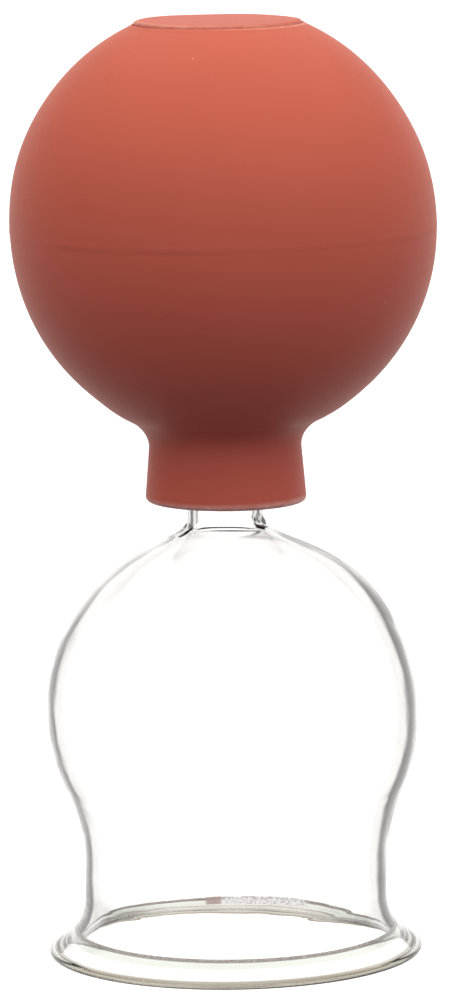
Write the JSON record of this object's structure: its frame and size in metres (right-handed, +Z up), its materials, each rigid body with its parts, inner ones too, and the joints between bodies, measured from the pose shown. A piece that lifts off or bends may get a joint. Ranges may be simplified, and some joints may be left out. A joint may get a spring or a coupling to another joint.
{
  "type": "suction cupping cup",
  "caption": "Clear blown-glass bell with a flared rim and a narrow tube neck, topped by a hollow red rubber ball that is squeezed to draw air out of the bell.",
  "frame": {"origin": "centre of the mouth, in the plane of the rim's flat underside, which the cup stands on", "axes": "+Z up along the common axis of bell, neck and ball, from the mouth to the closing disc; X and Y are free because every piece is round"},
  "size_m": [0.062, 0.062, 0.1374],
  "materials": {
    "clear_glass": "polished",
    "red_rubber": "matte",
    "disc_rubber": "matte"
  },
  "bodies": {
    "cup": {"glass_bell": "clear_glass", "glass_neck": "clear_glass"},
    "bulb": {"bulb_lower_half": "red_rubber"},
    "bulb_top": {"bulb_upper_half": "red_rubber", "bulb_top_disc": "disc_rubber"}
  },
  "joints": [
    {"name": "bulb_pull_off", "type": "slide", "parent": "cup", "child": "bulb", "axis": [0, 0, 1], "range_m": [0, 0.018]},
    {"name": "bulb_press", "type": "slide", "parent": "bulb", "child": "bulb_top", "axis": [0, 0, -1], "range_m": [0, 0.024], "stiffness_N_per_m": 800, "deforming": ["bulb_upper_half", "bulb_lower_half"]}
  ]
}
